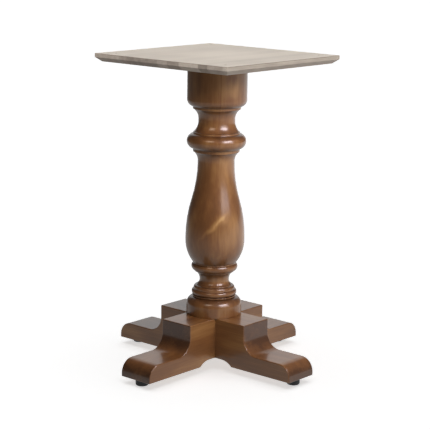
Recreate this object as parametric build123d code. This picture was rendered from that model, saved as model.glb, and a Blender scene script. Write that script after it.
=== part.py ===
from build123d import *
import os

# Pedestal table base: a bevelled top plate on one turned column, which stands on two half-lapped
# beams with raised blocks, coved feet and round glides. Millimetres, +Z up, floor at Z = 0,
# column axis on Z, one beam along X and the other along Y.

# Whole object
overall_height = 736.5
fit_clearance = 0.05  # radial play of a shank, stud or dowel in its hole
hole_spare = 2.0  # room past the end of a screw, stud or dowel
overcut = 1.0  # how far a cutter runs past the face that it opens

# Top plate
plate_side = 400.0
plate_thickness = 19.0
plate_edge_height = 9.0  # upright part of the edge, above the bevel
plate_bevel_inset = 12.0
plate_corner_radius = 2.0
plate_arris_radius = 1.0
table_screw_spacing = 330.0  # square of holes for the screws up into a table top
table_screw_hole_diameter = 6.0

# Screws from the plate down into the column's head
plate_screw_diameter = 6.0
plate_screw_head_diameter = 12.0
plate_screw_length = 70.0
plate_screw_circle = 92.0
plate_screw_count = 4
plate_screw_turn = 45.0  # degrees from +X to the first screw
plate_screw_sink = 7.0  # head below the plate's top face, under a wooden plug

# Cross beams
beam_width = 88.0
beam_span = 534.0
beam_depth = 107.5
block_span = 262.0
foot_thickness = 40.0
toe_upright = 8.0  # straight part of the toe, below its round nose
cove_radius = 37.0
arch_span = 188.0
arch_depth = 12.0
arch_shoulder = 30.0  # run of the curve at each end of the arch
beam_arris_radius = 2.0
lap_clearance = 0.1  # play between a lap's cheek and the other beam

# Turned column, from the foot up: radii and heights of its members
base_drum_radius = 65.5
base_drum_height = 22.0
base_shoulder_height = 19.5
foot_quirk_height = 1.0
foot_plinth_radius = 51.5
foot_plinth_height = 3.0
foot_collar_radius = 48.5
foot_bead_radius = 53.2
foot_bead_height = 14.0
foot_fillet_height = 2.5
foot_round_height = 6.5
foot_round_top_radius = 42.5
waist_fillet_height = 1.5
waist_radius = 34.6
waist_lower_cove_height = 12.0
waist_upper_cove_height = 20.0
bulb_collar_radius = 46.5
bulb_collar_height = 1.5
bulb_bead_radius = 54.6
bulb_bead_lower_height = 11.0
bulb_bead_upper_height = 7.5
bulb_quirk_radius = 50.0
bulb_quirk_height = 2.5
bulb_lip = 1.5  # overhang of the bulb's lower edge past the quirk
bulb_radius = 69.6
bulb_lower_height = 52.5
bulb_belly_height = 8.0
vase_neck_radius = 42.9
vase_neck_cove_height = 22.5
ring_collar_radius = 54.5
ring_lower_fillet_height = 7.0
ring_radius = 69.2
ring_lower_height = 18.0
ring_upper_height = 17.5
ring_top_radius = 56.0
ring_upper_fillet_height = 3.5
head_neck_radius = 42.8
head_neck_lower_cove_height = 24.5
head_neck_height = 6.0
head_neck_upper_cove_height = 23.5
head_collar_radius = 56.0
head_collar_height = 6.0
head_drum_radius = 69.7
head_round_height = 16.0
head_drum_height = 84.5
ledge = 1.2  # small step between a cove or round and the fillet beside it

# Stud, washer and nut that draw the column down on the beams
stud_diameter = 12.0
stud_embed = 75.0  # length in the column
stud_end_chamfer = 1.0
stud_hole_clearance = 0.5  # radial, through the beams
stud_past_nut = 4.0
washer_outer_diameter = 37.0
washer_thickness = 3.0
nut_across_flats = 18.0
nut_height = 10.0
nut_chamfer = 1.2
counterbore_depth = 22.0
counterbore_clearance = 1.5  # radial, round the washer

# Dowels that stop the column from turning
dowel_diameter = 12.0
dowel_length = 50.0
dowel_spacing = 64.0
dowel_chamfer = 1.0

# Glides and their screws
glide_diameter = 30.0
glide_height = 16.0
glide_round = 4.0
glide_inset = 22.5  # from the toe's end to the glide's centre
glide_screw_diameter = 4.0
glide_screw_head_diameter = 8.0
glide_screw_length = 40.0
glide_screw_sink = 1.8  # head above the floor

# Cross recess in the screw heads, as shares of the head
drive_span_share = 0.5
drive_width_share = 0.13
drive_depth_share = 0.2
screw_point_share = 1.5  # point length over shank diameter

# Levels
plate_underside = overall_height - plate_thickness
beam_underside = glide_height
beam_top = beam_underside + beam_depth
arch_roof = beam_underside + arch_depth
lap_level = (arch_roof + beam_top) / 2
foot_top = beam_underside + foot_thickness
nut_seat = arch_roof + counterbore_depth - washer_thickness
glide_circle_radius = beam_span / 2 - glide_inset
vertical = (0, 1)


class Outline:
    """A chain of lines and arcs in (across, up) points."""

    def __init__(self, across, up):
        self.start = (across, up)
        self.end = (across, up)
        self.edges = []

    def line(self, across, up):
        self.edges.append(Line(self.end, (across, up)))
        self.end = (across, up)

    def step(self, across):
        self.line(across, self.end[1])

    def rise(self, height):
        self.line(self.end[0], self.end[1] + height)

    def arc_from(self, tangent, across, up):
        self.edges.append(TangentArc(self.end, (across, up), tangent=tangent))
        self.end = (across, up)

    def arc_onto(self, tangent, across, up):
        backwards = (-tangent[0], -tangent[1])
        self.edges.append(TangentArc((across, up), self.end, tangent=backwards))
        self.end = (across, up)

    def bead(self, widest, height):
        middle = (widest, self.end[1] + height / 2)
        top = (self.end[0], self.end[1] + height)
        self.edges.append(ThreePointArc(self.end, middle, top))
        self.end = top

    def face(self):
        if self.end != self.start:
            self.line(*self.start)
        return Plane.XZ * make_face(self.edges)


def countersunk_screw(shank_diameter, head_diameter, length):
    """Screw with its head's top at the origin, pointing down, with a cross recess."""
    shank = shank_diameter / 2
    head = head_diameter / 2
    shape = Outline(0, 0)
    shape.step(head)
    shape.line(shank, shank - head)
    shape.line(shank, shank_diameter * screw_point_share - length)
    shape.line(0, -length)
    screw = revolve(shape.face(), Axis.Z)
    depth = head_diameter * drive_depth_share
    slot = Box(head_diameter * drive_span_share, head_diameter * drive_width_share, depth * 2)
    return screw - slot - Rot(0, 0, 90) * slot


def countersunk_hole(shank_diameter, head_diameter, length, sink):
    """Cutter for such a screw, open above its head."""
    shank = shank_diameter / 2 + fit_clearance
    head = head_diameter / 2 + fit_clearance
    shape = Outline(0, sink + hole_spare)
    shape.step(head)
    shape.line(head, 0)
    shape.line(shank, shank - head)
    shape.line(shank, -length - hole_spare)
    shape.step(0)
    return revolve(shape.face(), Axis.Z)


def chamfered_pin(diameter, low, high, size):
    radius = diameter / 2
    shape = Outline(0, low)
    shape.step(radius - size)
    shape.line(radius, low + size)
    shape.line(radius, high - size)
    shape.line(radius - size, high)
    shape.step(0)
    return revolve(shape.face(), Axis.Z)


def round_bar(radius, low, high):
    return Pos(0, 0, (low + high) / 2) * Cylinder(radius, high - low)


# Places shared by the pieces that meet there
plate_screw_axes = list(PolarLocations(plate_screw_circle / 2, plate_screw_count, plate_screw_turn))
plate_screw_level = overall_height - plate_screw_sink
plate_screw_places = [axis * Pos(0, 0, plate_screw_level) for axis in plate_screw_axes]
dowel_places = [Pos(side * dowel_spacing / 2, 0, 0) for side in (-1, 1)]
glide_places = {
    "front": Pos(0, -glide_circle_radius, 0),
    "right": Pos(glide_circle_radius, 0, 0),
    "back": Pos(0, glide_circle_radius, 0),
    "left": Pos(-glide_circle_radius, 0, 0),
}
plate_screw_size = (plate_screw_diameter, plate_screw_head_diameter, plate_screw_length)
glide_screw_size = (glide_screw_diameter, glide_screw_head_diameter, glide_screw_length)
upside_down = Pos(0, 0, glide_screw_sink) * Rot(180, 0, 0)


def make_top_plate():
    lower_side = plate_side - 2 * plate_bevel_inset
    bevel_height = plate_thickness - plate_edge_height
    square = RectangleRounded(plate_side, plate_side, plate_corner_radius)
    lower_square = RectangleRounded(lower_side, lower_side, plate_corner_radius)
    bevel_top = plate_underside + bevel_height
    plate = Pos(0, 0, bevel_top) * extrude(square, plate_edge_height)
    rim = plate.edges().group_by(Axis.Z)[-1]
    plate = fillet(rim, plate_arris_radius)
    plate += loft([Pos(0, 0, plate_underside) * lower_square, Pos(0, 0, bevel_top) * square])
    hole_radius = table_screw_hole_diameter / 2
    table_screw_hole = round_bar(hole_radius, plate_underside - overcut, overall_height + overcut)
    for place in GridLocations(table_screw_spacing, table_screw_spacing, 2, 2):
        plate -= place * table_screw_hole
    for place in plate_screw_places:
        plate -= place * countersunk_hole(*plate_screw_size, plate_screw_sink)
    return plate


def make_turned_column():
    column = Outline(0, beam_top)
    # Base drum, shoulder and foot bead
    column.step(base_drum_radius)
    column.rise(base_drum_height)
    column.arc_from(vertical, foot_collar_radius, column.end[1] + base_shoulder_height)
    column.rise(foot_quirk_height)
    column.step(foot_plinth_radius)
    column.rise(foot_plinth_height)
    column.step(foot_collar_radius)
    column.bead(foot_bead_radius, foot_bead_height)
    column.rise(foot_fillet_height)
    # Small round and the waist's two coves
    column.arc_from(vertical, foot_round_top_radius, column.end[1] + foot_round_height)
    column.step(foot_round_top_radius - ledge)
    column.rise(waist_fillet_height)
    column.arc_onto(vertical, waist_radius, column.end[1] + waist_lower_cove_height)
    column.arc_from(vertical, bulb_collar_radius - ledge, column.end[1] + waist_upper_cove_height)
    # Collar and bead under the bulb
    column.step(bulb_collar_radius)
    column.rise(bulb_collar_height)
    column.arc_onto(vertical, bulb_bead_radius, column.end[1] + bulb_bead_lower_height)
    column.arc_from(vertical, bulb_quirk_radius, column.end[1] + bulb_bead_upper_height)
    column.rise(bulb_quirk_height)
    # Bulb: the swell up to the neck takes the height that the other members leave
    upper_members = (
        vase_neck_cove_height + ring_lower_fillet_height + ring_lower_height + ring_upper_height
        + ring_upper_fillet_height + head_neck_lower_cove_height + head_neck_height
        + head_neck_upper_cove_height + head_collar_height + head_round_height + head_drum_height
    )
    vase_neck_level = plate_underside - upper_members
    column.step(bulb_quirk_radius + bulb_lip)
    column.arc_onto(vertical, bulb_radius, column.end[1] + bulb_lower_height)
    column.rise(bulb_belly_height)
    swell_middle = ((bulb_radius + vase_neck_radius) / 2, (column.end[1] + vase_neck_level) / 2)
    column.arc_from(vertical, *swell_middle)
    column.arc_onto(vertical, vase_neck_radius, vase_neck_level)
    # Ring between its fillets
    column.arc_from(vertical, ring_collar_radius - ledge, column.end[1] + vase_neck_cove_height)
    column.step(ring_collar_radius)
    column.rise(ring_lower_fillet_height)
    column.arc_onto(vertical, ring_radius, column.end[1] + ring_lower_height)
    column.arc_from(vertical, ring_top_radius, column.end[1] + ring_upper_height)
    column.step(ring_top_radius - ledge)
    column.rise(ring_upper_fillet_height)
    # Head neck and drum
    column.step(ring_top_radius - 2 * ledge)
    column.arc_onto(vertical, head_neck_radius, column.end[1] + head_neck_lower_cove_height)
    column.rise(head_neck_height)
    column.arc_from(vertical, head_collar_radius - ledge, column.end[1] + head_neck_upper_cove_height)
    column.step(head_collar_radius)
    column.rise(head_collar_height)
    column.step(head_collar_radius + ledge)
    column.arc_onto(vertical, head_drum_radius, column.end[1] + head_round_height)
    column.line(head_drum_radius, plate_underside)
    column.step(0)
    solid = revolve(column.face(), Axis.Z)
    # Holes for the plate screws, the stud and the dowels
    for place in plate_screw_places:
        solid -= place * countersunk_hole(*plate_screw_size, plate_screw_sink)
    stud_hole = stud_diameter / 2 + fit_clearance
    solid -= round_bar(stud_hole, beam_top - overcut, beam_top + stud_embed + hole_spare)
    for place in dowel_places:
        solid -= place * dowel_hole()
    return solid


def dowel_hole():
    half = dowel_length / 2 + hole_spare
    return round_bar(dowel_diameter / 2 + fit_clearance, beam_top - half, beam_top + half)


def make_plain_beam():
    """One whole beam along X, before the lap and holes are cut."""
    toe_radius = foot_thickness - toe_upright
    half_span = beam_span / 2
    half_block = block_span / 2
    half_arch = arch_span / 2
    half = Outline(0, arch_roof)
    half.step(half_arch - arch_shoulder)
    half.arc_from((1, 0), half_arch, beam_underside)
    half.step(half_span)
    half.rise(toe_upright)
    half.arc_from(vertical, half_span - toe_radius, foot_top)
    half.step(half_block + cove_radius)
    half.arc_from((-1, 0), half_block, foot_top + cove_radius)
    half.line(half_block, beam_top)
    half.step(0)
    other_half = [mirror(edge, about=Plane.YZ) for edge in half.edges]
    side = Plane.XZ * make_face(half.edges + other_half)
    beam = extrude(side, beam_width / 2, both=True)
    # Ease every arris, then square the crossing so that the lapped faces come flush
    sides = beam.faces().sort_by(Axis.Y)
    arrises = sides[0].edges() + sides[-1].edges()
    corners = [(half_block, beam_top), (half_span, beam_underside), (half_arch, beam_underside)]
    for across, up in corners:
        for end in (-across, across):
            arrises.append(beam.edges().filter_by(Axis.Y).sort_by_distance((end, 0, up))[0])
    beam = fillet(arrises, beam_arris_radius)
    crossing_depth = beam_top - arch_roof
    return beam + Pos(0, 0, lap_level) * Box(beam_width, beam_width, crossing_depth)


def lap_notch(low, high):
    across = beam_width + 2 * lap_clearance
    through = beam_width + 2 * overcut
    return Pos(0, 0, (low + high) / 2) * Box(across, through, high - low)


def drill_beam(beam):
    stud_hole = stud_diameter / 2 + stud_hole_clearance
    beam -= round_bar(stud_hole, arch_roof - overcut, beam_top + overcut)
    counterbore = washer_outer_diameter / 2 + counterbore_clearance
    beam -= round_bar(counterbore, arch_roof - overcut, arch_roof + counterbore_depth)
    for place in glide_places.values():
        beam -= place * upside_down * countersunk_hole(*glide_screw_size, glide_screw_sink)
    return beam


def make_upper_cross_beam():
    beam = make_plain_beam() - lap_notch(arch_roof - overcut, lap_level)
    for place in dowel_places:
        beam -= place * dowel_hole()
    return drill_beam(beam)


def make_lower_cross_beam():
    beam = make_plain_beam() - lap_notch(lap_level, beam_top + overcut)
    return drill_beam(Rot(0, 0, 90) * beam)


def make_centre_stud():
    low = nut_seat - nut_height - stud_past_nut
    return chamfered_pin(stud_diameter, low, beam_top + stud_embed, stud_end_chamfer)


def make_stud_washer():
    top = nut_seat + washer_thickness
    hole = stud_diameter / 2 + stud_hole_clearance
    disc = round_bar(washer_outer_diameter / 2, nut_seat, top)
    return disc - round_bar(hole, nut_seat - overcut, top + overcut)


def make_stud_nut():
    low = nut_seat - nut_height
    hexagon = RegularPolygon(nut_across_flats / 2, 6, major_radius=False)
    nut = Pos(0, 0, low) * extrude(hexagon, nut_height)
    # A chamfered bar round the corners takes them off at the lower face
    turned = round_bar(hexagon.radius, low, nut_seat)
    nut &= chamfer(turned.edges().group_by(Axis.Z)[0], nut_chamfer)
    hole = stud_diameter / 2 + fit_clearance
    return nut - round_bar(hole, low - overcut, nut_seat + overcut)


def make_locating_dowels():
    half = dowel_length / 2
    dowel = chamfered_pin(dowel_diameter, beam_top - half, beam_top + half, dowel_chamfer)
    return Compound(children=[place * dowel for place in dowel_places])


def make_plate_screws():
    return Compound(children=[place * countersunk_screw(*plate_screw_size) for place in plate_screw_places])


def make_screw_plugs():
    plug = round_bar(plate_screw_head_diameter / 2, plate_screw_level, overall_height)
    return Compound(children=[axis * plug for axis in plate_screw_axes])


def make_glide():
    radius = glide_diameter / 2
    shape = Outline(0, 0)
    shape.step(radius - glide_round)
    shape.arc_onto(vertical, radius, glide_round)
    shape.line(radius, glide_height)
    shape.step(0)
    pad = revolve(shape.face(), Axis.Z)
    return pad - upside_down * countersunk_hole(*glide_screw_size, glide_screw_sink)


def make_glide_screws():
    screw = upside_down * countersunk_screw(*glide_screw_size)
    return Compound(children=[place * screw for place in glide_places.values()])


pieces = {
    "top_plate": make_top_plate(),
    "plate_screws": make_plate_screws(),
    "screw_plugs": make_screw_plugs(),
    "turned_column": make_turned_column(),
    "locating_dowels": make_locating_dowels(),
    "upper_cross_beam": make_upper_cross_beam(),
    "lower_cross_beam": make_lower_cross_beam(),
    "centre_stud": make_centre_stud(),
    "stud_washer": make_stud_washer(),
    "stud_nut": make_stud_nut(),
    "glide_screws": make_glide_screws(),
}
for side, place in glide_places.items():
    pieces[f"glide_{side}"] = place * make_glide()

os.makedirs("parts", exist_ok=True)
for name, piece in pieces.items():
    export_step(piece, f"parts/{name}.step")
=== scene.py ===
import math
import bmesh
import bpy
from mathutils import Matrix, Vector


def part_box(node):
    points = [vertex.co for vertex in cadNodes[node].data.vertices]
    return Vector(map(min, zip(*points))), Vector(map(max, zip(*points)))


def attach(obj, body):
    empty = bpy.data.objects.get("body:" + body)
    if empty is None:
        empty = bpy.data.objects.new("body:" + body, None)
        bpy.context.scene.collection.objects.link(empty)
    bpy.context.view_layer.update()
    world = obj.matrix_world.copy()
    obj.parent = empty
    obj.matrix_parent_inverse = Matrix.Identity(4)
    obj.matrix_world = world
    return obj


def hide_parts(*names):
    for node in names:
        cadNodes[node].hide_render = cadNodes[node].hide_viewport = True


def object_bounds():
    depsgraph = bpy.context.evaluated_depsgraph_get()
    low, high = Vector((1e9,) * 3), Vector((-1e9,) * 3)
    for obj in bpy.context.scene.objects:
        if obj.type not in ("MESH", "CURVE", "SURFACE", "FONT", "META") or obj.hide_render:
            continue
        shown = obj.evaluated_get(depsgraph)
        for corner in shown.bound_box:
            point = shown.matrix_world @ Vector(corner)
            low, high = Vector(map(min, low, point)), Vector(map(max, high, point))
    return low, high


# Pedestal table base. The frame's plate, plugs, beams, dowels, washer, nut and glides keep their meshes and
# get their finishes here. The column is turned, and the screws and the stud are threaded, in Geometry Nodes.

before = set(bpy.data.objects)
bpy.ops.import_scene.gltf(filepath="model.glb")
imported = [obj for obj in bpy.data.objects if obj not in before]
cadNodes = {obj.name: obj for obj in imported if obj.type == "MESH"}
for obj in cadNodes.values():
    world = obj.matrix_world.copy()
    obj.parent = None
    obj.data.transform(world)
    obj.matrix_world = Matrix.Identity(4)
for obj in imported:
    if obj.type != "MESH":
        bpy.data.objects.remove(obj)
cadLow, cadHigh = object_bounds()
mm = 0.001


def hexColour(code):
    # Linear colour of an sRGB hex value
    channels = [int(code[i:i + 2], 16) / 255 for i in (1, 3, 5)]
    return [c / 12.92 if c <= 0.04045 else ((c + 0.055) / 1.055) ** 2.4 for c in channels] + [1.0]


def addNode(tree, kind, inputs=None, **settings):
    # An input takes a value, a socket to link from, or a list of such sockets
    node = tree.nodes.new(kind)
    for name, value in settings.items():
        setattr(node, name, value)
    for key, value in (inputs or {}).items():
        severalLinks = isinstance(value, list) and isinstance(value[0], bpy.types.NodeSocket)
        for given in value if severalLinks else [value]:
            if isinstance(given, bpy.types.NodeSocket):
                tree.links.new(given, node.inputs[key])
            else:
                node.inputs[key].default_value = given
    return node


def newMaterial(name):
    material = bpy.data.materials.new(name)
    material.use_nodes = True
    material.node_tree.nodes.clear()
    return material, material.node_tree


def setStops(ramp, stops):
    elements = ramp.color_ramp.elements
    while len(elements) < len(stops):
        elements.new(0.5)
    for element, (position, code) in zip(elements, stops):
        element.position, element.color = position, hexColour(code)


# Hardwood stained walnut brown under satin-gloss lacquer: a soft brown figure that runs along the grain,
# behind a clear film that mirrors the lights and the pieces beside it.
stainedHardwood = {
    "stops": ((0.18, "#462B14"), (0.5, "#6D4825"), (0.82, "#936E40"), (1.0, "#B79661")),
    # Layers of figure: size across and along the grain in mm, and share of the tone
    "layers": (
        (75.0, 210.0, 0.70),  # broad clouds of stain
        (16.0, 190.0, 0.34),  # bands of early and late wood
        (2.6, 60.0, 0.22),  # fibres, drawn three times as coarse as real so that they show
    ),
    "tone": 0.52,
    "endGrain": -0.32,  # end grain drinks more stain, so it is darker
    "woodRoughness": 0.5,
    "woodGloss": 0.2,
    "poreWidth": 0.8,  # mm, twice as wide as real so that it shows
    "poreLength": 9.0,
    "poreDepth": 0.12,
    "poreStrength": 0.08,
    "filmRoughness": 0.2,
    "filmWeight": 1.0,
    "ior": 1.5,  # of the wood and of the film
}
# Grain direction of each beam, and where in the figure it is cut from in mm
beamCuts = {
    "upper_beam": ("x", (130.0, 410.0, 75.0)),
    "lower_beam": ("y", (620.0, 240.0, 310.0)),
}
grainAxes = {"x": (1, 0, 0), "y": (0, 1, 0), "z": (0, 0, 1)}


def figureAlong(tree, place, axis, layers, start):
    # Adds up noise layers that are stretched along the grain; their mean leaves the tone at start
    tone = start - sum(share for across, along, share in layers) / 2
    for across, along, share in layers:
        scales = [1 / ((along if lengthwise else across) * mm) for lengthwise in grainAxes[axis]]
        stretched = addNode(tree, "ShaderNodeVectorMath", {
            0: place, 1: scales,
        }, operation="MULTIPLY").outputs[0]
        noise = addNode(tree, "ShaderNodeTexNoise", {
            "Vector": stretched, "Scale": 1.0, "Detail": 2.0, "Roughness": 0.5,
        })
        tone = addNode(tree, "ShaderNodeMath", {
            0: noise.outputs["Fac"], 1: share, 2: tone,
        }, operation="MULTIPLY_ADD").outputs[0]
    return tone


def lacquerOver(tree, place, axis, tone, endGrain):
    # Wood of the given tone, changed by endGrain where a face looks along the grain, under the film
    wood = stainedHardwood
    normal = addNode(tree, "ShaderNodeNewGeometry").outputs["Normal"]
    endwise = addNode(tree, "ShaderNodeVectorMath", {
        0: normal, 1: grainAxes[axis],
    }, operation="DOT_PRODUCT").outputs["Value"]
    endwise = addNode(tree, "ShaderNodeMath", {0: endwise, 1: endwise}, operation="MULTIPLY").outputs[0]
    tone = addNode(tree, "ShaderNodeMath", {
        0: endwise, 1: endGrain, 2: tone,
    }, operation="MULTIPLY_ADD").outputs[0]
    ramp = addNode(tree, "ShaderNodeValToRGB", {"Fac": tone})
    setStops(ramp, wood["stops"])
    pores = figureAlong(tree, place, axis, ((wood["poreWidth"], wood["poreLength"], 1.0),), 0.5)
    relief = addNode(tree, "ShaderNodeBump", {
        "Height": pores, "Strength": wood["poreStrength"], "Distance": wood["poreDepth"] * mm,
    }).outputs["Normal"]
    shader = addNode(tree, "ShaderNodeBsdfPrincipled", {
        "Base Color": ramp.outputs["Color"], "Roughness": wood["woodRoughness"], "IOR": wood["ior"],
        "Specular IOR Level": wood["woodGloss"], "Coat Weight": wood["filmWeight"],
        "Coat Roughness": wood["filmRoughness"], "Coat IOR": wood["ior"],
        "Normal": relief, "Coat Normal": relief,
    })
    addNode(tree, "ShaderNodeOutputMaterial", {"Surface": shader.outputs[0]})


def makeBeamWood(name):
    wood = stainedHardwood
    axis, offset = beamCuts[name]
    material, tree = newMaterial("hardwood_lacquered_" + name)
    place = addNode(tree, "ShaderNodeTexCoord").outputs["Object"]
    place = addNode(tree, "ShaderNodeMapping", {
        "Vector": place, "Location": [v * mm for v in offset],
    }).outputs[0]
    tone = figureAlong(tree, place, axis, wood["layers"], wood["tone"])
    lacquerOver(tree, place, axis, tone, wood["endGrain"])
    return material


# The column's blank is glued up from two boards. Its figure is mottled, with a pale flame across the bulb;
# some of its marks are painted light and shade.
columnBlank = {
    "tone": 0.53,
    # Darker where faces look up or down: end grain taking more stain, and partly painted shade on the
    # up-facing turnings
    "endGrain": -0.42,
    "layers": ((34.0, 85.0, 0.44), (12.0, 70.0, 0.28), (2.6, 60.0, 0.14)),  # as in the beams, but shorter
    "boardStep": 0.03,  # how much paler the right board is
    "glueAngle": -42.0,  # degrees from +X to the glue line on the front
    "glueWidth": 1.4,  # mm, several times as wide as real so that it shows
    "glueTone": -0.14,
    "glueFrom": 600.0,  # mm above the floor; lower down the figure hides most of it
    "glueFade": 60.0,  # mm over which it does so
    "glueBelow": 0.15,  # share that still shows there
    # Marks: degrees from -Y towards +X, height, half length and half width in mm, lean in degrees,
    # change of tone
    "marks": (
        (38.0, 345.0, 48.0, 8.0, 47.0, 0.31),  # pale flame on the bulb
        (58.0, 363.0, 16.0, 16.0, 0.0, 0.24),  # its wider upper end: pale figure, partly a painted highlight where it meets the key light's highlight
        (50.0, 330.0, 28.0, 42.0, 0.0, 0.11),
        (-16.0, 338.0, 20.0, 48.0, 0.0, 0.14),
        (20.0, 567.0, 66.0, 20.0, 0.0, 0.10),  # ring
        (14.0, 372.0, 34.0, 60.0, 0.0, -0.12),
        (76.0, 338.0, 34.0, 52.0, 0.0, 0.13),
        (18.0, 446.0, 20.0, 48.0, 0.0, -0.10),
        (66.0, 455.0, 16.0, 60.0, 0.0, 0.12),
        (10.0, 676.0, 34.0, 52.0, 0.0, -0.10),  # head drum, darker on its left: painted shade
        # paler patch on the head drum's right, where the key light falls: painted light
        (72.0, 661.0, 30.0, 26.0, 0.0, 0.27),
    ),
    "markRadius": 60.0,  # mm from the axis to the middle of each mark
    "markDepth": 45.0,
    "markFade": (1.2, 0.05),  # shares of a mark's half size at which it starts and is full
    "markWander": 10.0,  # mm by which noise bends the marks
    "bendSize": 22.0,  # mm from one bend to the next
}


def makeColumnWood():
    blank = columnBlank
    material, tree = newMaterial("hardwood_lacquered_column")
    place = addNode(tree, "ShaderNodeTexCoord").outputs["Object"]
    tone = figureAlong(tree, place, "z", blank["layers"], blank["tone"])
    # The glue plane holds the column's axis; the board on its right is paler
    glueAngle = math.radians(blank["glueAngle"])
    acrossGlue = (-math.sin(glueAngle), math.cos(glueAngle), 0)
    apart = addNode(tree, "ShaderNodeVectorMath", {
        0: place, 1: acrossGlue,
    }, operation="DOT_PRODUCT").outputs["Value"]
    rightBoard = addNode(tree, "ShaderNodeMath", {0: apart, 1: 0.0}, operation="GREATER_THAN").outputs[0]
    line = addNode(tree, "ShaderNodeMath", {
        0: apart, 1: 0.0, 2: blank["glueWidth"] * mm / 2,
    }, operation="COMPARE").outputs[0]
    above = addNode(tree, "ShaderNodeSeparateXYZ", {0: place}).outputs["Z"]
    shown = addNode(tree, "ShaderNodeMapRange", {
        "Value": above, "From Min": (blank["glueFrom"] - blank["glueFade"]) * mm,
        "From Max": blank["glueFrom"] * mm, "To Min": blank["glueBelow"],
    }).outputs[0]
    line = addNode(tree, "ShaderNodeMath", {0: line, 1: shown}, operation="MULTIPLY").outputs[0]
    changes = [(rightBoard, blank["boardStep"]), (line, blank["glueTone"])]
    # Marks: soft ellipsoids, bent a little by noise, which varies about one half
    bend = addNode(tree, "ShaderNodeTexNoise", {
        "Vector": place, "Scale": 1 / (blank["bendSize"] * mm), "Detail": 1.0,
    }).outputs["Color"]
    bend = addNode(tree, "ShaderNodeVectorMath", {
        0: bend, 1: (0.5, 0.5, 0.5),
    }, operation="SUBTRACT").outputs[0]
    wander = [blank["markWander"] * mm] * 3
    bent = addNode(tree, "ShaderNodeVectorMath", {
        0: bend, 1: wander, 2: place,
    }, operation="MULTIPLY_ADD").outputs[0]
    radius = blank["markRadius"]
    for azimuth, height, length, width, lean, change in blank["marks"]:
        turn = math.radians(azimuth)
        centre = (radius * math.sin(turn), -radius * math.cos(turn), height)
        local = addNode(tree, "ShaderNodeMapping", {
            "Vector": bent, "Location": [v * mm for v in centre],
            "Rotation": (0, -math.radians(lean), turn),
            "Scale": [v * mm for v in (length, blank["markDepth"], width)],
        }, vector_type="TEXTURE").outputs[0]
        away = addNode(tree, "ShaderNodeVectorMath", {0: local}, operation="LENGTH").outputs["Value"]
        share = addNode(tree, "ShaderNodeMapRange", {
            "Value": away, "From Min": blank["markFade"][0], "From Max": blank["markFade"][1],
        }, interpolation_type="SMOOTHSTEP").outputs[0]
        changes.append((share, change))
    for share, change in changes:
        tone = addNode(tree, "ShaderNodeMath", {
            0: share, 1: change, 2: tone,
        }, operation="MULTIPLY_ADD").outputs[0]
    lacquerOver(tree, place, "z", tone, blank["endGrain"])
    return material


# Glued-up softwood board, sanded and left bare: nearly even beige on top with faint staves, a washed
# grey-brown edge whose stave ends differ, and a thin worn line along the top arris.
paleBoard = {
    "top": ((0.2, "#CBC1B6"), (0.8, "#DED4C8")),
    "edge": ((0.15, "#73685E"), (0.5, "#94887D"), (0.85, "#B2A699")),
    "arris": "#6B5A4A",
    "faceUp": (0.75, 0.98),  # upward share of the normal where the edge gives way to the top
    "arrisCurve": ((0.12, 0.0), (0.4, 1.0), (0.85, 1.0), (0.99, 0.0)),  # that share, and how worn it is
    "staveWidth": 30.0,
    # Layers as in the hardwood; the last two of the top are drawn coarse so that they show
    "edgeLayers": ((14.0, 60.0, 0.5), (2.2, 40.0, 0.35)),
    "topLayers": ((90.0, 130.0, 0.5), (9.0, 220.0, 0.35), (2.4, 110.0, 0.35)),
    "tones": (0.25, 0.34),  # at the edge and on top, before the staves change them
    "staveShares": (0.5, 0.32),  # how far the staves differ there
    "paintedLightMiddle": (170.0, 0.35),  # painted pool of light: radius in mm of the paler middle of the top, and how much paler it is
    "reliefDepth": 0.2,
    "reliefStrength": 0.15,
    "roughness": 0.6,
    "ior": 1.45,
}


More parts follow.
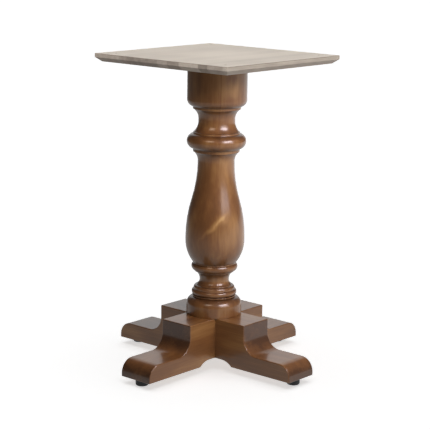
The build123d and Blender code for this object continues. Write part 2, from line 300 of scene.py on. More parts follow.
def makeBoard():
    board = paleBoard
    material, tree = newMaterial("pine_board_sanded")
    place = addNode(tree, "ShaderNodeTexCoord").outputs["Object"]
    normal = addNode(tree, "ShaderNodeNewGeometry").outputs["Normal"]
    up = addNode(tree, "ShaderNodeSeparateXYZ", {0: normal}).outputs["Z"]
    faceUp = addNode(tree, "ShaderNodeMapRange", {
        "Value": up, "From Min": board["faceUp"][0], "From Max": board["faceUp"][1],
    }).outputs[0]
    # One random tone for each stave; the staves run along Y
    across = addNode(tree, "ShaderNodeSeparateXYZ", {0: place}).outputs["X"]
    stave = addNode(tree, "ShaderNodeTexVoronoi", {
        "W": across, "Scale": 1 / (board["staveWidth"] * mm),
    }, voronoi_dimensions="1D")
    staveTone = addNode(tree, "ShaderNodeSeparateColor", {0: stave.outputs["Color"]}).outputs[0]
    edgeTone = figureAlong(tree, place, "y", board["edgeLayers"], board["tones"][0])
    edgeTone = addNode(tree, "ShaderNodeMath", {
        0: staveTone, 1: board["staveShares"][0], 2: edgeTone,
    }, operation="MULTIPLY_ADD").outputs[0]
    edgeRamp = addNode(tree, "ShaderNodeValToRGB", {"Fac": edgeTone})
    setStops(edgeRamp, board["edge"])
    topTone = figureAlong(tree, place, "y", board["topLayers"], board["tones"][1])
    topTone = addNode(tree, "ShaderNodeMath", {
        0: staveTone, 1: board["staveShares"][1], 2: topTone,
    }, operation="MULTIPLY_ADD").outputs[0]
    # Painted pool of light: the top is paler towards its middle
    flat = addNode(tree, "ShaderNodeVectorMath", {0: place, 1: (1, 1, 0)}, operation="MULTIPLY").outputs[0]
    away = addNode(tree, "ShaderNodeVectorMath", {0: flat}, operation="LENGTH").outputs["Value"]
    radius, paler = board["paintedLightMiddle"]
    middle = addNode(tree, "ShaderNodeMapRange", {
        "Value": away, "From Min": radius * mm, "From Max": 0.0, "To Max": paler,
    }, interpolation_type="SMOOTHSTEP").outputs[0]
    topTone = addNode(tree, "ShaderNodeMath", {0: topTone, 1: middle}, operation="ADD").outputs[0]
    topRamp = addNode(tree, "ShaderNodeValToRGB", {"Fac": topTone})
    setStops(topRamp, board["top"])
    colour = addNode(tree, "ShaderNodeMix", {
        "Factor": faceUp, "A": edgeRamp.outputs["Color"], "B": topRamp.outputs["Color"],
    }, data_type="RGBA")
    # The rounded top arris is the only place that faces half up
    arris = addNode(tree, "ShaderNodeFloatCurve", {"Value": up})
    curve = arris.mapping.curves[0]
    curve.points[0].location, curve.points[1].location = (0.0, 0.0), (1.0, 0.0)
    for position, height in board["arrisCurve"]:
        curve.points.new(position, height)
    arris.mapping.update()
    worn = addNode(tree, "ShaderNodeMix", {
        "Factor": arris.outputs[0], "A": colour.outputs["Result"], "B": hexColour(board["arris"]),
    }, data_type="RGBA")
    relief = addNode(tree, "ShaderNodeBump", {
        "Height": edgeTone, "Strength": board["reliefStrength"], "Distance": board["reliefDepth"] * mm,
    })
    shader = addNode(tree, "ShaderNodeBsdfPrincipled", {
        "Base Color": worn.outputs["Result"], "Roughness": board["roughness"], "IOR": board["ior"],
        "Normal": relief.outputs["Normal"],
    })
    addNode(tree, "ShaderNodeOutputMaterial", {"Surface": shader.outputs[0]})
    return material


# Beech dowel, turned and left bare: pinkish tan with short darker flecks along it
beechDowel = {
    "stops": ((0.3, "#A87B50"), (0.55, "#C9A276"), (0.8, "#DDBE96")),
    "layers": ((1.4, 14.0, 0.6), (6.0, 60.0, 0.4)),
    "tone": 0.55,
    "roughness": 0.6,
    "ior": 1.45,
}


def makeBeech():
    dowel = beechDowel
    material, tree = newMaterial("beech_turned")
    place = addNode(tree, "ShaderNodeTexCoord").outputs["Object"]
    tone = figureAlong(tree, place, "z", dowel["layers"], dowel["tone"])
    ramp = addNode(tree, "ShaderNodeValToRGB", {"Fac": tone})
    setStops(ramp, dowel["stops"])
    shader = addNode(tree, "ShaderNodeBsdfPrincipled", {
        "Base Color": ramp.outputs["Color"], "Roughness": dowel["roughness"], "IOR": dowel["ior"],
    })
    addNode(tree, "ShaderNodeOutputMaterial", {"Surface": shader.outputs[0]})
    return material


# Zinc-plated steel: bluish silver with cloudy patches of duller plating and fine rolling marks
zincPlate = {
    "stops": ((0.3, "#9EA3A8"), (0.7, "#C9CCCE")),
    "cloudSize": 5.0,
    "cloudRange": (0.3, 0.7),  # of the noise, from the brightest plating to the dullest
    "roughness": (0.26, 0.46),
    "markSize": 0.5,
    "markDepth": 0.05,
    "markStrength": 0.1,
}


def makeZinc():
    plating = zincPlate
    material, tree = newMaterial("steel_zinc_plated")
    place = addNode(tree, "ShaderNodeTexCoord").outputs["Object"]
    clouds = addNode(tree, "ShaderNodeTexNoise", {
        "Vector": place, "Scale": 1 / (plating["cloudSize"] * mm), "Detail": 3.0,
    }).outputs["Fac"]
    marks = addNode(tree, "ShaderNodeTexNoise", {
        "Vector": place, "Scale": 1 / (plating["markSize"] * mm), "Detail": 1.0,
    }).outputs["Fac"]
    ramp = addNode(tree, "ShaderNodeValToRGB", {"Fac": clouds})
    setStops(ramp, plating["stops"])
    dull = addNode(tree, "ShaderNodeMapRange", {
        "Value": clouds, "From Min": plating["cloudRange"][0], "From Max": plating["cloudRange"][1],
        "To Min": plating["roughness"][0], "To Max": plating["roughness"][1],
    })
    relief = addNode(tree, "ShaderNodeBump", {
        "Height": marks, "Strength": plating["markStrength"], "Distance": plating["markDepth"] * mm,
    })
    shader = addNode(tree, "ShaderNodeBsdfPrincipled", {
        "Base Color": ramp.outputs["Color"], "Metallic": 1.0, "Roughness": dull.outputs[0],
        "Normal": relief.outputs["Normal"],
    })
    addNode(tree, "ShaderNodeOutputMaterial", {"Surface": shader.outputs[0]})
    return material


# Black nylon, moulded: near black with a fine matt grain, greyer where it has rubbed on the floor
blackNylon = {
    "stops": ((0.35, "#0B0B0C"), (0.7, "#1A1A1B")),
    "rubbed": "#3A3937",
    "rubbedShare": 0.7,
    "rubbedHeight": 1.2,
    "grainSize": 0.7,
    "grainDepth": 0.1,
    "grainStrength": 0.2,
    "roughness": 0.5,
    "ior": 1.53,
}


def makeNylon():
    moulding = blackNylon
    material, tree = newMaterial("nylon_black_moulded")
    place = addNode(tree, "ShaderNodeTexCoord").outputs["Object"]
    grain = addNode(tree, "ShaderNodeTexNoise", {
        "Vector": place, "Scale": 1 / (moulding["grainSize"] * mm), "Detail": 2.0,
    }).outputs["Fac"]
    ramp = addNode(tree, "ShaderNodeValToRGB", {"Fac": grain})
    setStops(ramp, moulding["stops"])
    above = addNode(tree, "ShaderNodeSeparateXYZ", {0: place}).outputs["Z"]
    rubbed = addNode(tree, "ShaderNodeMapRange", {
        "Value": above, "From Min": moulding["rubbedHeight"] * mm, "From Max": 0.0,
        "To Max": moulding["rubbedShare"],
    })
    colour = addNode(tree, "ShaderNodeMix", {
        "Factor": rubbed.outputs[0], "A": ramp.outputs["Color"], "B": hexColour(moulding["rubbed"]),
    }, data_type="RGBA")
    relief = addNode(tree, "ShaderNodeBump", {
        "Height": grain, "Strength": moulding["grainStrength"], "Distance": moulding["grainDepth"] * mm,
    })
    shader = addNode(tree, "ShaderNodeBsdfPrincipled", {
        "Base Color": colour.outputs["Result"], "Roughness": moulding["roughness"], "IOR": moulding["ior"],
        "Normal": relief.outputs["Normal"],
    })
    addNode(tree, "ShaderNodeOutputMaterial", {"Surface": shader.outputs[0]})
    return material


upperBeamWood = makeBeamWood("upper_beam")
lowerBeamWood = makeBeamWood("lower_beam")
columnWood = makeColumnWood()
boardWood = makeBoard()
beech = makeBeech()
zinc = makeZinc()
nylon = makeNylon()
print("finishes made")

nodeFinishes = {
    "top_plate": boardWood, "upper_cross_beam": upperBeamWood, "lower_cross_beam": lowerBeamWood,
    "screw_plugs": boardWood, "locating_dowels": beech, "stud_washer": zinc, "stud_nut": zinc,
    "glide_front": nylon, "glide_right": nylon, "glide_back": nylon, "glide_left": nylon,
}
for name, finish in nodeFinishes.items():
    slots = cadNodes[name].data.materials
    for i in range(len(slots)):
        slots[i] = finish
print("frame nodes dressed:", len(nodeFinishes))


# Lathe work: profiles are (radius, height) points from the foot up, in mm
latheWork = {
    "arcStep": 5.0,  # degrees in each straight piece of an arc
    "fewestPieces": 4,
    "cornerFrom": 20.0,  # degrees; a sharper corner is rounded
    "cornerShare": 0.45,  # most of a neighbouring line that the rounding takes
    "cornerPieces": 4,
    "threadRows": 6,  # rows of points in one pitch
    "threadFlank": (0.08, 0.44),  # shares of the pitch at the flank's foot and crest
    "weld": 0.005,  # mm, closes the seam and the poles
}


def arcPoints(start, end, uprightAtStart):
    # Points after start on the arc to end that is upright at one of the two
    across, rise = end[0] - start[0], end[1] - start[1]
    reach = (across * across + rise * rise) / (2 * abs(across))
    sweep = math.atan2(rise, reach - abs(across))
    count = max(latheWork["fewestPieces"], math.ceil(math.degrees(sweep) / latheWork["arcStep"]))
    side = math.copysign(reach, across)
    points = []
    for i in range(1, count + 1):
        turn = sweep * (i if uprightAtStart else count - i) / count
        if uprightAtStart:
            points.append((start[0] + side * (1 - math.cos(turn)), start[1] + reach * math.sin(turn)))
        else:
            points.append((end[0] - side * (1 - math.cos(turn)), end[1] - reach * math.sin(turn)))
    return points


def softenCorners(points, size):
    # Rounds the sharp corners, as sanding and lacquer do
    fromAngle = math.radians(latheWork["cornerFrom"])
    most, pieces = latheWork["cornerShare"], latheWork["cornerPieces"]
    soft = [points[0]]
    for before, corner, after in zip(points, points[1:], points[2:]):
        inward, outward = Vector(corner) - Vector(before), Vector(after) - Vector(corner)
        shortest = min(inward.length, outward.length)
        if shortest < 1e-6 or inward.angle(outward) < fromAngle:
            soft.append(corner)
            continue
        first = Vector(corner) - inward.normalized() * min(size, most * inward.length)
        last = Vector(corner) + outward.normalized() * min(size, most * outward.length)
        for i in range(pieces + 1):
            on = i / pieces
            off = 1 - on
            soft.append(tuple(first * off ** 2 + Vector(corner) * 2 * on * off + last * on * on))
    return soft + [points[-1]]


def newTree(name, sockets):
    tree = bpy.data.node_groups.new(name, "GeometryNodeTree")
    for label, kind in sockets.items():
        tree.interface.new_socket(label, in_out="INPUT", socket_type="NodeSocket" + kind)
    tree.interface.new_socket("Geometry", in_out="OUTPUT", socket_type="NodeSocketGeometry")
    return tree, addNode(tree, "NodeGroupInput").outputs


latheSockets = {
    "Geometry": "Geometry", "Steps": "Int", "Thread Pitch": "Float", "Thread Depth": "Float",
    "Thread Low": "Float", "Thread High": "Float",
}


def buildLathe():
    # Spins the profile that the object holds, with an optional screw thread between two heights
    tree, given = newTree("lathe", latheSockets)
    rows = addNode(tree, "GeometryNodeAttributeDomainSize", {
        "Geometry": given["Geometry"],
    }).outputs["Point Count"]
    columns = addNode(tree, "FunctionNodeIntegerMath", {
        0: given["Steps"], 1: 1,
    }, operation="ADD").outputs[0]
    grid = addNode(tree, "GeometryNodeMeshGrid", {
        "Vertices X": columns, "Vertices Y": rows,
    }).outputs["Mesh"]
    index = addNode(tree, "GeometryNodeInputIndex").outputs[0]
    row = addNode(tree, "FunctionNodeIntegerMath", {0: index, 1: rows}, operation="MODULO").outputs[0]
    column = addNode(tree, "FunctionNodeIntegerMath", {
        0: index, 1: rows,
    }, operation="DIVIDE_FLOOR").outputs[0]
    turn = addNode(tree, "ShaderNodeMath", {0: column, 1: given["Steps"]}, operation="DIVIDE").outputs[0]
    position = addNode(tree, "GeometryNodeInputPosition").outputs[0]
    profile = addNode(tree, "GeometryNodeSampleIndex", {
        "Geometry": given["Geometry"], "Value": position, "Index": row,
    }, data_type="FLOAT_VECTOR").outputs["Value"]
    # Thread: a ridge once a pitch, carried round by the turn, fading in at both ends
    height = addNode(tree, "ShaderNodeSeparateXYZ", {0: profile}).outputs["Z"]
    wound = addNode(tree, "ShaderNodeMath", {
        0: height, 1: given["Thread Pitch"],
    }, operation="DIVIDE").outputs[0]
    wound = addNode(tree, "ShaderNodeMath", {0: wound, 1: turn}, operation="SUBTRACT").outputs[0]
    ridge = addNode(tree, "ShaderNodeMath", {0: wound, 1: 0.5}, operation="PINGPONG").outputs[0]
    ridge = addNode(tree, "ShaderNodeMapRange", {
        "Value": ridge, "From Min": latheWork["threadFlank"][0], "From Max": latheWork["threadFlank"][1],
    }).outputs[0]
    run = addNode(tree, "ShaderNodeMath", {
        0: height, 1: given["Thread Low"],
    }, operation="SUBTRACT").outputs[0]
    left = addNode(tree, "ShaderNodeMath", {
        0: given["Thread High"], 1: height,
    }, operation="SUBTRACT").outputs[0]
    inside = addNode(tree, "ShaderNodeMath", {0: run, 1: left}, operation="MINIMUM").outputs[0]
    fade = addNode(tree, "ShaderNodeMapRange", {
        "Value": inside, "From Min": 0.0, "From Max": given["Thread Pitch"],
    }).outputs[0]
    proud = addNode(tree, "ShaderNodeMath", {0: ridge, 1: fade}, operation="MULTIPLY").outputs[0]
    proud = addNode(tree, "ShaderNodeMath", {
        0: proud, 1: given["Thread Depth"],
    }, operation="MULTIPLY").outputs[0]
    outward = addNode(tree, "ShaderNodeCombineXYZ", {"X": proud}).outputs[0]
    threaded = addNode(tree, "ShaderNodeVectorMath", {0: profile, 1: outward}, operation="ADD").outputs[0]
    angle = addNode(tree, "ShaderNodeMath", {0: turn, 1: math.tau}, operation="MULTIPLY").outputs[0]
    spun = addNode(tree, "ShaderNodeVectorRotate", {
        "Vector": threaded, "Angle": angle,
    }, rotation_type="Z_AXIS").outputs[0]
    shape = addNode(tree, "GeometryNodeSetPosition", {"Geometry": grid, "Position": spun}).outputs[0]
    shape = addNode(tree, "GeometryNodeMergeByDistance", {
        "Geometry": shape, "Distance": latheWork["weld"] * mm,
    }).outputs[0]
    addNode(tree, "NodeGroupOutput", {"Geometry": shape})
    return tree


lathe = buildLathe()


def shadeByAngle(tree, shape, degrees):
    bend = addNode(tree, "GeometryNodeInputMeshEdgeAngle").outputs["Unsigned Angle"]
    sharp = addNode(tree, "FunctionNodeCompare", {
        0: bend, 1: math.radians(degrees),
    }, operation="GREATER_THAN").outputs[0]
    shape = addNode(tree, "GeometryNodeSetShadeSmooth", {
        "Geometry": shape, "Shade Smooth": True,
    }, domain="FACE").outputs[0]
    return addNode(tree, "GeometryNodeSetShadeSmooth", {
        "Geometry": shape, "Selection": sharp, "Shade Smooth": False,
    }, domain="EDGE").outputs[0]


def closeTree(tree, shape, material):
    shape = addNode(tree, "GeometryNodeRealizeInstances", {"Geometry": shape}).outputs[0]
    shape = addNode(tree, "GeometryNodeSetMaterial", {"Geometry": shape, "Material": material}).outputs[0]
    addNode(tree, "NodeGroupOutput", {"Geometry": shape})


def makePiece(name, profile, tree, values, node):
    # Runs the tree on the profile, keeps the result as a plain mesh and hides the node that it stands for
    chain = bpy.data.meshes.new(name + "Profile")
    lines = [(i, i + 1) for i in range(len(profile) - 1)]
    chain.from_pydata([(radius * mm, 0, height * mm) for radius, height in profile], lines, [])
    piece = bpy.data.objects.new(name, chain)
    bpy.context.scene.collection.objects.link(piece)
    modifier = piece.modifiers.new(tree.name, "NODES")
    modifier.node_group = tree
    for item in tree.interface.items_tree:
        if item.in_out == "INPUT" and item.name in values:
            modifier[item.identifier] = values[item.name]
    shaped = bpy.data.meshes.new_from_object(piece.evaluated_get(bpy.context.evaluated_depsgraph_get()))
    piece.modifiers.remove(modifier)
    piece.data = shaped
    bpy.data.meshes.remove(chain)
    shell = bmesh.new()
    shell.from_mesh(shaped)
    bmesh.ops.recalc_face_normals(shell, faces=shell.faces[:])
    shell.to_mesh(shaped)
    volume = shell.calc_volume(signed=True) / mm ** 3
    shell.free()
    shaped.name = name
    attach(piece, "root")
    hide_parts(node)
    print(name, "made:", len(shaped.polygons), "faces,", round(volume), "mm3")


# Turned column. Each member from the foot up: a straight upright, an arc that leaves the upright line
# ("from") or joins it ("onto"), with its end radius and its height in mm. The swell takes what is left.
columnTurning = {
    "members": (
        ("straight", 65.5, 22.0),  # base drum
        ("from", 48.5, 19.5),  # its shoulder
        ("straight", 48.5, 1.0),
        ("straight", 51.5, 3.0),
        ("straight", 48.5, 0.0),
        ("onto", 53.2, 7.0),  # foot bead
        ("from", 48.5, 7.0),
        ("straight", 48.5, 2.5),
        ("from", 42.5, 6.5),  # small round
        ("straight", 41.3, 1.5),
        ("onto", 34.6, 12.0),  # waist
        ("from", 45.3, 20.0),
        ("straight", 46.5, 1.5),
        ("onto", 54.6, 11.0),  # bead under the bulb
        ("from", 50.0, 7.5),
        ("straight", 50.0, 2.5),
        ("straight", 51.5, 0.0),
        ("onto", 69.6, 52.5),  # bulb
        ("straight", 69.6, 8.0),
        ("swell", 42.9, 0.0),  # up to the vase neck
        ("from", 53.3, 22.5),
        ("straight", 54.5, 7.0),
        ("onto", 69.2, 18.0),  # ring
        ("from", 56.0, 17.5),
        ("straight", 54.8, 3.5),
        ("straight", 53.6, 0.0),
        ("onto", 42.8, 24.5),  # head neck
        ("straight", 42.8, 6.0),
        ("from", 54.8, 23.5),
        ("straight", 56.0, 6.0),
        ("straight", 57.2, 0.0),
        ("onto", 69.7, 16.0),  # head drum
        ("straight", 69.7, 84.5),
    ),
    "arris": 1.5,  # softening of each corner
    "steps": 144,
    "endRing": 0.97,  # share of an end's radius up to which it is kept flat
    "longUpright": 6.0,  # an upright above this height has two more rows
    "rowInset": 2.0,  # from its ends
    "studHole": (6.05, 77.0),  # radius, depth
    "dowelHole": (6.05, 27.0),
    "dowelSpacing": 64.0,
    "screwHole": (3.05, 60.0),
    "screwCircle": 46.0,
    "drillSides": 32,
    "shadeAngle": 32.0,
}


def columnProfile():
    turning = columnTurning
    low, high = (corner[2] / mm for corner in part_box("turned_column"))
    spare = high - low - sum(height for kind, radius, height in turning["members"])
    points = [(0.0, low)]
    for kind, radius, height in turning["members"]:
        start = points[-1]
        end = (radius, start[1] + height)
        if kind == "swell":
            middle = ((start[0] + radius) / 2, start[1] + spare / 2)
            points += arcPoints(start, middle, True)
            points += arcPoints(middle, (radius, start[1] + spare), False)
        elif kind == "straight":
            if start[0] == 0:
                points.append((radius * turning["endRing"], start[1]))
            if abs(start[0] - radius) > 1e-6:
                points.append((radius, start[1]))
            if height > turning["longUpright"]:
                inset = turning["rowInset"]
                points += [(radius, start[1] + inset), (radius, end[1] - inset)]
            if height:
                points.append(end)
        else:
            points += arcPoints(start, end, kind == "from")
    points += [(points[-1][0] * turning["endRing"], high), (0.0, high)]
    return softenCorners(points, turning["arris"])


def buildColumnTree():
    tree, given = newTree("turnedColumn", {
        "Geometry": "Geometry", "Steps": "Int", "Foot": "Float", "Head": "Float",
        "Stud Radius": "Float", "Stud Depth": "Float",
        "Dowel Radius": "Float", "Dowel Depth": "Float", "Dowel Spacing": "Float",
        "Screw Radius": "Float", "Screw Depth": "Float", "Screw Circle": "Float", "Material": "Material",
    })
    # Without a thread depth there is no thread, but the lathe divides by the pitch
    turned = addNode(tree, "GeometryNodeGroup", {
        "Geometry": given["Geometry"], "Steps": given["Steps"], "Thread Pitch": 1.0,
    }, node_tree=lathe)
    # Cutters, each centred on the end that it is drilled from
    cutters = []
    halfSpacing = addNode(tree, "ShaderNodeMath", {
        0: given["Dowel Spacing"], 1: -0.5,
    }, operation="MULTIPLY").outputs[0]
    firstDowel = addNode(tree, "ShaderNodeCombineXYZ", {"X": halfSpacing, "Z": given["Foot"]}).outputs[0]
    apart = addNode(tree, "ShaderNodeCombineXYZ", {"X": given["Dowel Spacing"]}).outputs[0]
    foot = addNode(tree, "ShaderNodeCombineXYZ", {"Z": given["Foot"]}).outputs[0]
    head = addNode(tree, "ShaderNodeCombineXYZ", {"Z": given["Head"]}).outputs[0]
    ring = addNode(tree, "GeometryNodeMeshCircle", {
        "Vertices": 4, "Radius": given["Screw Circle"],
    }).outputs[0]
    places = {
        "Stud": addNode(tree, "GeometryNodeMeshLine", {"Count": 1, "Start Location": foot}),
        "Dowel": addNode(tree, "GeometryNodeMeshLine", {
            "Count": 2, "Start Location": firstDowel, "Offset": apart,
        }),
        "Screw": addNode(tree, "GeometryNodeTransform", {
            "Geometry": ring, "Translation": head, "Rotation": (0, 0, math.radians(45)),
        }),
    }
    for label, points in places.items():
        length = addNode(tree, "ShaderNodeMath", {
            0: given[label + " Depth"], 1: 2.0,
        }, operation="MULTIPLY").outputs[0]
        drill = addNode(tree, "GeometryNodeMeshCylinder", {
            "Vertices": columnTurning["drillSides"], "Radius": given[label + " Radius"], "Depth": length,
        }).outputs["Mesh"]
        drilled = addNode(tree, "GeometryNodeInstanceOnPoints", {
            "Points": points.outputs[0], "Instance": drill,
        }).outputs[0]
        cutters.append(addNode(tree, "GeometryNodeRealizeInstances", {"Geometry": drilled}).outputs[0])
    cut = addNode(tree, "GeometryNodeMeshBoolean", {
        "Mesh 1": turned.outputs[0], "Mesh 2": cutters,
    }, operation="DIFFERENCE").outputs["Mesh"]
    closeTree(tree, shadeByAngle(tree, cut, columnTurning["shadeAngle"]), given["Material"])
    return tree


def makeColumn():
    turning = columnTurning
    foot, head = (corner[2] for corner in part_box("turned_column"))
    values = {
        "Steps": turning["steps"], "Foot": foot, "Head": head, "Material": columnWood,
        "Dowel Spacing": turning["dowelSpacing"] * mm, "Screw Circle": turning["screwCircle"] * mm,
    }
    for label, hole in (("Stud", "studHole"), ("Dowel", "dowelHole"), ("Screw", "screwHole")):
        values[label + " Radius"], values[label + " Depth"] = (size * mm for size in turning[hole])
    makePiece("turnedColumn", columnProfile(), buildColumnTree(), values, "turned_column")


makeColumn()

# Countersunk wood screws with a cross recess, four on a circle. Sizes in mm, turn in degrees
plateScrews = {
    "head": 12.0, "core": 4.2, "crest": 6.0, "length": 70.0, "pitch": 2.6, "point": 8.0,
    "circle": 46.0, "turn": 45.0, "sink": 7.0, "seed": 3,
}
glideScrews = {
    "head": 8.0, "core": 2.8, "crest": 4.0, "length": 40.0, "pitch": 1.8, "point": 5.5,
    "circle": 244.5, "turn": 0.0, "sink": 1.8, "seed": 8,
}
screwMake = {
    "steps": 24,
    "plainShare": 0.3,  # of the length, without thread under the head
    "recess": (0.5, 0.13, 0.2),  # span, width and depth as shares of the head
    "rim": ((-0.3, -0.55), (0.0, -0.3), (0.0, -0.12), (-0.15, 0.0)),  # rounding: change of radius, height
    "flat": 0.6,  # share of the head's radius with a ring of points on its flat
    "shadeAngle": 35.0,
}


def screwProfile(screw):
    # Head at the top, then the core down to the point; rows close enough to carry the thread
    head, core, length = screw["head"] / 2, screw["core"] / 2, screw["length"]
    neck = core - head
    points = [(0.0, -length)]
    taper = -length + screw["point"]
    rows = round((neck - taper) / screw["pitch"] * latheWork["threadRows"])
    points += [(core, taper + (neck - taper) * i / rows) for i in range(rows + 1)]
    points += [(head + wider, height) for wider, height in screwMake["rim"]]
    points += [(head * screwMake["flat"], 0.0), (0.0, 0.0)]
    return points


def buildScrewTree():
    tree, given = newTree("countersunkScrews", {
        **latheSockets, "Circle": "Float", "Turn": "Float", "Level": "Float", "Tip": "Float",
        "Recess Span": "Float", "Recess Width": "Float", "Recess Depth": "Float", "Seed": "Int",
        "Material": "Material",
    })
    turned = addNode(tree, "GeometryNodeGroup", {name: given[name] for name in latheSockets}, node_tree=lathe)
    depth = addNode(tree, "ShaderNodeMath", {
        0: given["Recess Depth"], 1: 2.0,
    }, operation="MULTIPLY").outputs[0]
    size = addNode(tree, "ShaderNodeCombineXYZ", {
        "X": given["Recess Span"], "Y": given["Recess Width"], "Z": depth,
    }).outputs[0]
    slot = addNode(tree, "GeometryNodeMeshCube", {"Size": size}).outputs["Mesh"]
    cross = addNode(tree, "GeometryNodeTransform", {
        "Geometry": slot, "Rotation": (0, 0, math.radians(90)),
    }).outputs[0]
    screw = addNode(tree, "GeometryNodeMeshBoolean", {
        "Mesh 1": turned.outputs[0], "Mesh 2": [slot, cross],
    }, operation="DIFFERENCE").outputs["Mesh"]
    screw = shadeByAngle(tree, screw, screwMake["shadeAngle"])
    ring = addNode(tree, "GeometryNodeMeshCircle", {"Vertices": 4, "Radius": given["Circle"]}).outputs[0]
    level = addNode(tree, "ShaderNodeCombineXYZ", {"Z": given["Level"]}).outputs[0]
    spin = addNode(tree, "ShaderNodeCombineXYZ", {"Z": given["Turn"]}).outputs[0]
    points = addNode(tree, "GeometryNodeTransform", {
        "Geometry": ring, "Translation": level, "Rotation": spin,
    }).outputs[0]
    # Each screw stopped at its own turn
    stopped = addNode(tree, "FunctionNodeRandomValue", {
        "Min": 0.0, "Max": math.pi / 2, "Seed": given["Seed"],
    }, data_type="FLOAT")
    chance = [socket for socket in stopped.outputs if socket.enabled][0]
    facing = addNode(tree, "ShaderNodeCombineXYZ", {"X": given["Tip"], "Z": chance}).outputs[0]
    placed = addNode(tree, "GeometryNodeInstanceOnPoints", {
        "Points": points, "Instance": screw, "Rotation": facing,
    }).outputs[0]
    closeTree(tree, placed, given["Material"])
    return tree


screwTree = buildScrewTree()


def makeScrews(name, screw, level, tip, node):
    span, width, depth = (share * screw["head"] * mm for share in screwMake["recess"])
    makePiece(name, screwProfile(screw), screwTree, {
        "Steps": screwMake["steps"], "Thread Pitch": screw["pitch"] * mm,
        "Thread Depth": (screw["crest"] - screw["core"]) / 2 * mm,
        "Thread Low": (screw["point"] - screw["length"]) * mm,
        "Thread High": -screwMake["plainShare"] * screw["length"] * mm,
        "Circle": screw["circle"] * mm, "Turn": math.radians(screw["turn"]), "Level": level, "Tip": tip,
        "Recess Span": span, "Recess Width": width, "Recess Depth": depth,
        "Seed": screw["seed"], "Material": zinc,
    }, node)


makeScrews("plateScrews", plateScrews, cadHigh[2] - plateScrews["sink"] * mm, 0.0, "plate_screws")
makeScrews("glideScrews", glideScrews, glideScrews["sink"] * mm, math.pi, "glide_screws")

# Threaded stud from the nut up into the column's foot, in mm
centreStud = {
    "core": 10.0, "crest": 12.0, "pitch": 1.75, "steps": 32, "shadeAngle": 40.0,
    "chamfer": (0.8, 1.0),  # inwards and along the stud
}


def makeStud():
    stud = centreStud
    low, high = (corner[2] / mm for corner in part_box("centre_stud"))
    tree, given = newTree("threadedStud", {**latheSockets, "Material": "Material"})
    turned = addNode(tree, "GeometryNodeGroup", {name: given[name] for name in latheSockets}, node_tree=lathe)
    closeTree(tree, shadeByAngle(tree, turned.outputs[0], stud["shadeAngle"]), given["Material"])
    core = stud["core"] / 2
    inwards, along = stud["chamfer"]
    straight = high - low - 2 * along
    rows = round(straight / stud["pitch"] * latheWork["threadRows"])
    body = [(core, low + along + straight * i / rows) for i in range(rows + 1)]
    profile = [(0.0, low), (core - inwards, low)] + body + [(core - inwards, high), (0.0, high)]
    makePiece("centreStud", profile, tree, {
        "Steps": stud["steps"], "Thread Pitch": stud["pitch"] * mm,
        "Thread Depth": (stud["crest"] - stud["core"]) / 2 * mm,
        "Thread Low": (low + along) * mm, "Thread High": (high - along) * mm, "Material": zinc,
    }, "centre_stud")


makeStud()

# Stage. Azimuths are in degrees from -Y towards +X, sizes in metres. The lit sheet and the surround are set
# to the camera's azimuth
cameraAzimuth = 40.9


def towardsSide(azimuth, elevation):
    azimuth, elevation = math.radians(azimuth), math.radians(elevation)
    flat = math.cos(elevation)
    return Vector((math.sin(azimuth) * flat, -math.cos(azimuth) * flat, math.sin(elevation)))


def rightOf(azimuth):
    azimuth = math.radians(azimuth)
    return Vector((math.cos(azimuth), math.sin(azimuth), 0))


# Floor and a pale backdrop far behind it, of matt white paper that glows, shown to the camera alone
studioFloor = {
    "colour": "#F9F9F9", "roughness": 0.9, "gloss": 0.1, "floorGlow": 0.62, "wallGlow": 1.0,
    "halfSize": 30.0, "wallHeight": 20.0,
}


def makeStage(name, points, faces, glow):
    mesh = bpy.data.meshes.new(name)
    mesh.from_pydata(points, [], faces)
    material, tree = newMaterial("paper_" + name)
    colour = hexColour(studioFloor["colour"])
    shader = addNode(tree, "ShaderNodeBsdfPrincipled", {
        "Base Color": colour, "Roughness": studioFloor["roughness"],
        "Specular IOR Level": studioFloor["gloss"], "Emission Color": colour, "Emission Strength": glow,
    })
    addNode(tree, "ShaderNodeOutputMaterial", {"Surface": shader.outputs[0]})
    mesh.materials.append(material)
    stage = bpy.data.objects.new(name, mesh)
    bpy.context.scene.collection.objects.link(stage)
    stage.visible_diffuse = stage.visible_glossy = stage.visible_shadow = False
    return stage


reach, wall = studioFloor["halfSize"], studioFloor["wallHeight"]
corners = [(x * reach, y * reach) for x, y in ((-1, -1), (1, -1), (1, 1), (-1, 1))]
floor = makeStage("floor", [(x, y, 0) for x, y in corners], [(0, 1, 2, 3)], studioFloor["floorGlow"])
makeStage("backdrop", [(x, y, z) for z in (-wall, wall) for x, y in corners],
          [(i, (i + 1) % 4, (i + 1) % 4 + 4, i + 4) for i in range(4)], studioFloor["wallGlow"])

# Lit paper that the pieces mirror but the camera does not see. Its brightness changes from left to right of
# the camera, and it fades on the left and in front, so that the column's head stays dark there
bounceSheet = {
    "halfSize": 8.0,
    "drop": 0.02,  # below the floor
    "glow": (0.50, 0.96),
    "turnover": (-0.5, 1.5),  # from one glow to the other
    "leftEdge": (-3.2, -1.1),
    "frontEdge": (3.0, 1.9),
    "beyond": 0.2,  # share of the glow that is left past these edges
}


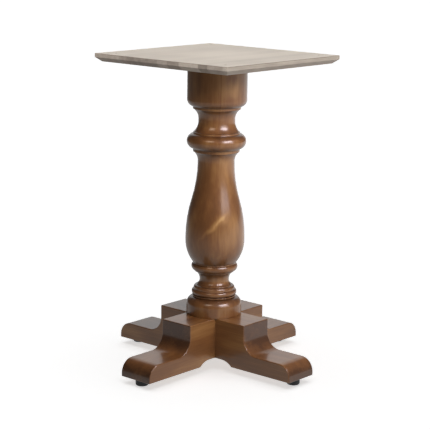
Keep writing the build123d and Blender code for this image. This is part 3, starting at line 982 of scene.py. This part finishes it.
def makeBounce():
    bounce = bounceSheet
    size, under = bounce["halfSize"], -bounce["drop"]
    mesh = bpy.data.meshes.new("bounceSheet")
    sheetCorners = [(x * size, y * size, under) for x, y in ((-1, -1), (1, -1), (1, 1), (-1, 1))]
    mesh.from_pydata(sheetCorners, [], [(0, 1, 2, 3)])
    material, tree = newMaterial("paper_lit")
    place = addNode(tree, "ShaderNodeTexCoord").outputs["Object"]
    side = addNode(tree, "ShaderNodeVectorMath", {
        0: place, 1: rightOf(cameraAzimuth),
    }, operation="DOT_PRODUCT").outputs["Value"]
    glow = addNode(tree, "ShaderNodeMapRange", {
        "Value": side, "From Min": bounce["turnover"][0], "From Max": bounce["turnover"][1],
        "To Min": bounce["glow"][0], "To Max": bounce["glow"][1],
    }, interpolation_type="SMOOTHSTEP").outputs[0]
    ahead = addNode(tree, "ShaderNodeVectorMath", {
        0: place, 1: towardsSide(cameraAzimuth, 0),
    }, operation="DOT_PRODUCT").outputs["Value"]
    for distance, edge in ((side, "leftEdge"), (ahead, "frontEdge")):
        inside = addNode(tree, "ShaderNodeMapRange", {
            "Value": distance, "From Min": bounce[edge][0], "From Max": bounce[edge][1],
            "To Min": bounce["beyond"],
        }, interpolation_type="SMOOTHSTEP").outputs[0]
        glow = addNode(tree, "ShaderNodeMath", {0: glow, 1: inside}, operation="MULTIPLY").outputs[0]
    shader = addNode(tree, "ShaderNodeEmission", {"Strength": glow})
    addNode(tree, "ShaderNodeOutputMaterial", {"Surface": shader.outputs[0]})
    mesh.materials.append(material)
    sheet = bpy.data.objects.new("bounceSheet", mesh)
    bpy.context.scene.collection.objects.link(sheet)
    sheet.visible_camera = sheet.visible_shadow = False


makeBounce()

# Dim light from all round, whose strength changes from left to right of the camera
surround = {"glow": (0.06, 0.13), "turnover": (-0.5, 0.5)}


def makeSurround():
    world = bpy.data.worlds.new("studio")
    world.use_nodes = True
    tree = world.node_tree
    tree.nodes.clear()
    ray = addNode(tree, "ShaderNodeTexCoord").outputs["Generated"]
    side = addNode(tree, "ShaderNodeVectorMath", {
        0: ray, 1: rightOf(cameraAzimuth),
    }, operation="DOT_PRODUCT").outputs["Value"]
    strength = addNode(tree, "ShaderNodeMapRange", {
        "Value": side, "From Min": surround["turnover"][0], "From Max": surround["turnover"][1],
        "To Min": surround["glow"][0], "To Max": surround["glow"][1],
    }).outputs[0]
    background = addNode(tree, "ShaderNodeBackground", {"Color": (1, 1, 1, 1), "Strength": strength})
    addNode(tree, "ShaderNodeOutputWorld", {"Surface": background.outputs[0]})
    bpy.context.scene.world = world


makeSurround()

# Softboxes, which light everything but the plate, its plugs and the floor
softboxes = {
    "keyCore": {
        "azimuth": 89, "elevation": 36, "distance": 1.54, "width": 0.85, "height": 0.50,
        "radiance": 13.2, "colour": "#FFF2FA",
    },
    "keySpill": {
        "azimuth": 88, "elevation": 26, "distance": 1.6, "width": 1.1, "height": 0.9,
        "radiance": 4.0, "colour": "#FFF4F4",
    },
    "leftSoftbox": {
        "azimuth": 14, "elevation": 40, "distance": 1.6, "width": 0.70, "height": 0.42,
        "radiance": 6.0, "colour": "#FFE6CE",
    },
    "backSoftbox": {
        "azimuth": 221, "elevation": 20, "distance": 4.0, "width": 3.6, "height": 2.8,
        "radiance": 0.68, "colour": "#FFFFFF",
    },
}
# Distant lights, each on the plate with its plugs or on the floor alone
suns = {
    "plateLeft": {
        "azimuth": -20, "elevation": 35, "distance": 5.0, "angle": 40, "strength": 2.55, "on": "plate",
    },
    "plateRight": {
        "azimuth": 80, "elevation": 30, "distance": 5.0, "angle": 40, "strength": 2.8, "on": "plate",
    },
    "floorLight": {
        "azimuth": 0, "elevation": 90, "distance": 5.0, "angle": 70, "strength": 1.3, "on": "floor",
    },
}
aimHeight = 0.4  # that all the lights point at


def lightGroup(name, members):
    group = bpy.data.collections.new(name)
    for member in members:
        group.objects.link(member)
    return group


def addLight(name, light, values, receivers):
    towards = towardsSide(values["azimuth"], values["elevation"])
    lamp = bpy.data.objects.new(name, light)
    lamp.location = Vector((0, 0, aimHeight)) + towards * values["distance"]
    lamp.rotation_mode = "QUATERNION"
    lamp.rotation_quaternion = (-towards).to_track_quat("-Z", "Y")
    lamp.visible_camera = False
    lamp.light_linking.receiver_collection = receivers
    bpy.context.scene.collection.objects.link(lamp)


plate = [cadNodes["top_plate"], cadNodes["screw_plugs"]]
receiversAlone = {"floor": lightGroup("floorAlone", [floor]), "plate": lightGroup("plateAlone", plate)}
allButThese = lightGroup("allButThese", plate + [floor])
for member in allButThese.collection_objects:
    member.light_linking.link_state = "EXCLUDE"
for name, box in softboxes.items():
    light = bpy.data.lights.new(name, "AREA")
    light.shape, light.size, light.size_y = "RECTANGLE", box["width"], box["height"]
    light.energy = box["radiance"] * math.pi * box["width"] * box["height"]
    light.color = hexColour(box["colour"])[:3]
    addLight(name, light, box, allButThese)
for name, sun in suns.items():
    light = bpy.data.lights.new(name, "SUN")
    light.energy, light.angle = sun["strength"], math.radians(sun["angle"])
    addLight(name, light, sun, receiversAlone[sun["on"]])
print("stage and lights set")

# Camera at the photograph's angle
cameraFit = {
    "elevation": 11.84, "roll": 0.95, "distance": 3.440, "targetHeight": 0.3590, "sideStep": -0.0006,
    "focalPixels": 1464.4, "imagePixels": 430, "sensorWidth": 36.0,
}


def placeCamera():
    fit = cameraFit
    back = towardsSide(cameraAzimuth, fit["elevation"])
    right = rightOf(cameraAzimuth)
    up = back.cross(right)
    roll = math.radians(fit["roll"])
    leanRight = right * math.cos(roll) + up * math.sin(roll)
    leanUp = up * math.cos(roll) - right * math.sin(roll)
    turned = Matrix((leanRight, leanUp, back)).transposed().to_4x4()
    target = Vector((0, 0, fit["targetHeight"]))
    turned.translation = target + back * fit["distance"] + right * fit["sideStep"]
    cameraData = bpy.data.cameras.new("camera")
    cameraData.sensor_width = fit["sensorWidth"]
    cameraData.sensor_fit = "HORIZONTAL"
    cameraData.lens = fit["sensorWidth"] * fit["focalPixels"] / fit["imagePixels"]
    camera = bpy.data.objects.new("camera", cameraData)
    bpy.context.scene.collection.objects.link(camera)
    camera.matrix_world = turned
    bpy.context.scene.camera = camera


placeCamera()
bpy.context.scene.view_settings.view_transform = "Standard"
print("camera set")
